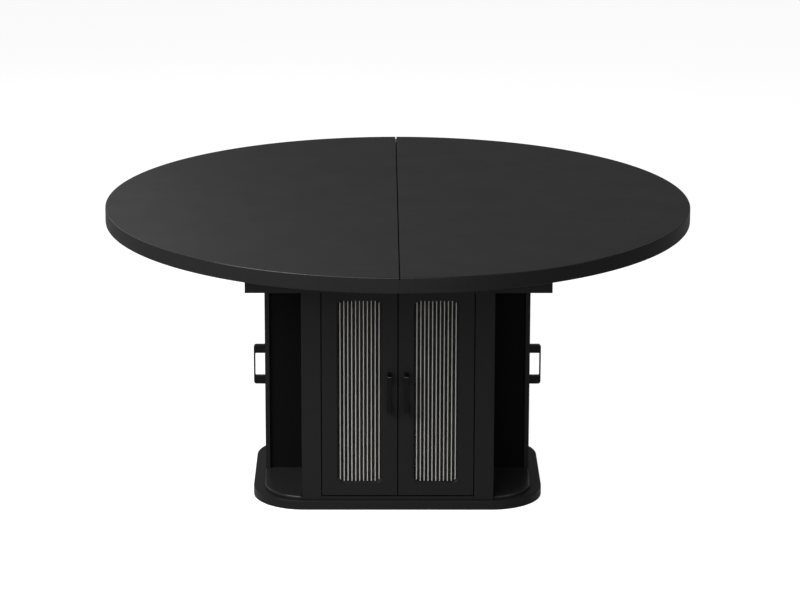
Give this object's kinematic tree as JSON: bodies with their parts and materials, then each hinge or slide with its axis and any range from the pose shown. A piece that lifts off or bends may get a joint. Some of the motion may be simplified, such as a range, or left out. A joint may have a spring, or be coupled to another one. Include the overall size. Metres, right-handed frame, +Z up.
{
  "type": "extending dining table",
  "caption": "Round extending pedestal table: two half tops slide apart on runners over a box with a folded leaf, on a cabinet with reeded glass doors and pull-out side racks.",
  "frame": {"origin": "on the floor under the middle of the closed table", "axes": "+X is the way the right half of the top slides, +Y from the front doors to the rear doors, +Z up"},
  "size_m": [1.5238, 1.524, 0.762],
  "materials": {
    "black_board": "satin black laminate on fibreboard",
    "glass": "clear reeded glass",
    "black_metal": "black powder coat",
    "zinc_steel": "bright zinc plate",
    "beech": "planed, unvarnished",
    "nylon": "moulded",
    "hinge_brass": "satin"
  },
  "bodies": {
    "base": {"plinth": "black_board", "cabinet_floor": "black_board", "cabinet_top": "black_board", "pocket_walls": "black_board", "shelves": "black_board", "shelf_pins": "zinc_steel", "friezes": "black_board", "pivot_pins": "zinc_steel", "door_catches": "nylon", "side_boards_left": "black_board", "side_boards_right": "black_board", "post_front_left": "black_board", "post_front_right": "black_board", "post_rear_left": "black_board", "post_rear_right": "black_board", "apron_front": "black_board", "apron_rear": "black_board", "apron_ends": "black_board", "box_floor": "black_board", "box_bolts": "zinc_steel", "corner_blocks": "beech", "leaf_panel_lower": "black_board", "leaf_panel_upper": "black_board", "leaf_hinges": "hinge_brass", "leaf_dowels": "beech", "top_rail_channels": "zinc_steel", "rack_rail_channels": "zinc_steel", "sync_stud": "zinc_steel"},
    "top_left": {"top_half_left": "black_board", "bearers_left": "beech", "top_rails_left": "zinc_steel", "sync_rack_left": "nylon", "seam_dowels": "beech"},
    "top_right": {"top_half_right": "black_board", "bearers_right": "beech", "top_rails_right": "zinc_steel", "sync_rack_right": "nylon"},
    "pinion": {"sync_pinion": "nylon"},
    "rack_left": {"rack_tray_left": "black_board", "rack_divider_left": "black_board", "rack_cap_left": "black_board", "rack_handle_left": "black_metal", "rack_rails_left": "zinc_steel"},
    "rack_right": {"rack_tray_right": "black_board", "rack_divider_right": "black_board", "rack_cap_right": "black_board", "rack_handle_right": "black_metal", "rack_rails_right": "zinc_steel"},
    "door_front_left": {"door_front_left": "black_board", "pane_front_left": "glass", "handle_front_left": "black_metal"},
    "door_front_right": {"door_front_right": "black_board", "pane_front_right": "glass", "handle_front_right": "black_metal"},
    "door_rear_left": {"door_rear_left": "black_board", "pane_rear_left": "glass", "handle_rear_left": "black_metal"},
    "door_rear_right": {"door_rear_right": "black_board", "pane_rear_right": "glass", "handle_rear_right": "black_metal"}
  },
  "joints": [
    {"name": "top_left_slide", "type": "slide", "parent": "base", "child": "top_left", "axis": [-1, 0, 0], "range_m": [0, 0.21]},
    {"name": "top_right_slide", "type": "slide", "parent": "base", "child": "top_right", "axis": [1, 0, 0], "range_m": [0, 0.21]},
    {"name": "pinion_spin", "type": "hinge", "parent": "base", "child": "pinion", "pos_m": [0, 0.39275, 0.65875], "axis": [0, 1, 0], "range_deg": [0, 1337]},
    {"name": "rack_left_slide", "type": "slide", "parent": "base", "child": "rack_left", "axis": [-1, 0, 0], "range_m": [0, 0.15]},
    {"name": "rack_right_slide", "type": "slide", "parent": "base", "child": "rack_right", "axis": [1, 0, 0], "range_m": [0, 0.15]},
    {"name": "door_front_left_hinge", "type": "hinge", "parent": "base", "child": "door_front_left", "pos_m": [-0.187, -0.246, 0.317], "axis": [0, 0, -1], "range_deg": [0, 100]},
    {"name": "door_front_right_hinge", "type": "hinge", "parent": "base", "child": "door_front_right", "pos_m": [0.187, -0.246, 0.317], "axis": [0, 0, 1], "range_deg": [0, 100]},
    {"name": "door_rear_left_hinge", "type": "hinge", "parent": "base", "child": "door_rear_left", "pos_m": [-0.187, 0.246, 0.317], "axis": [0, 0, 1], "range_deg": [0, 100]},
    {"name": "door_rear_right_hinge", "type": "hinge", "parent": "base", "child": "door_rear_right", "pos_m": [0.187, 0.246, 0.317], "axis": [0, 0, -1], "range_deg": [0, 100]}
  ],
  "couplings": [
    {"joint": "top_right_slide", "follows": "top_left_slide", "ratio": 1},
    {"joint": "pinion_spin", "follows": "top_left_slide", "rad_per_m": 111.11}
  ]
}
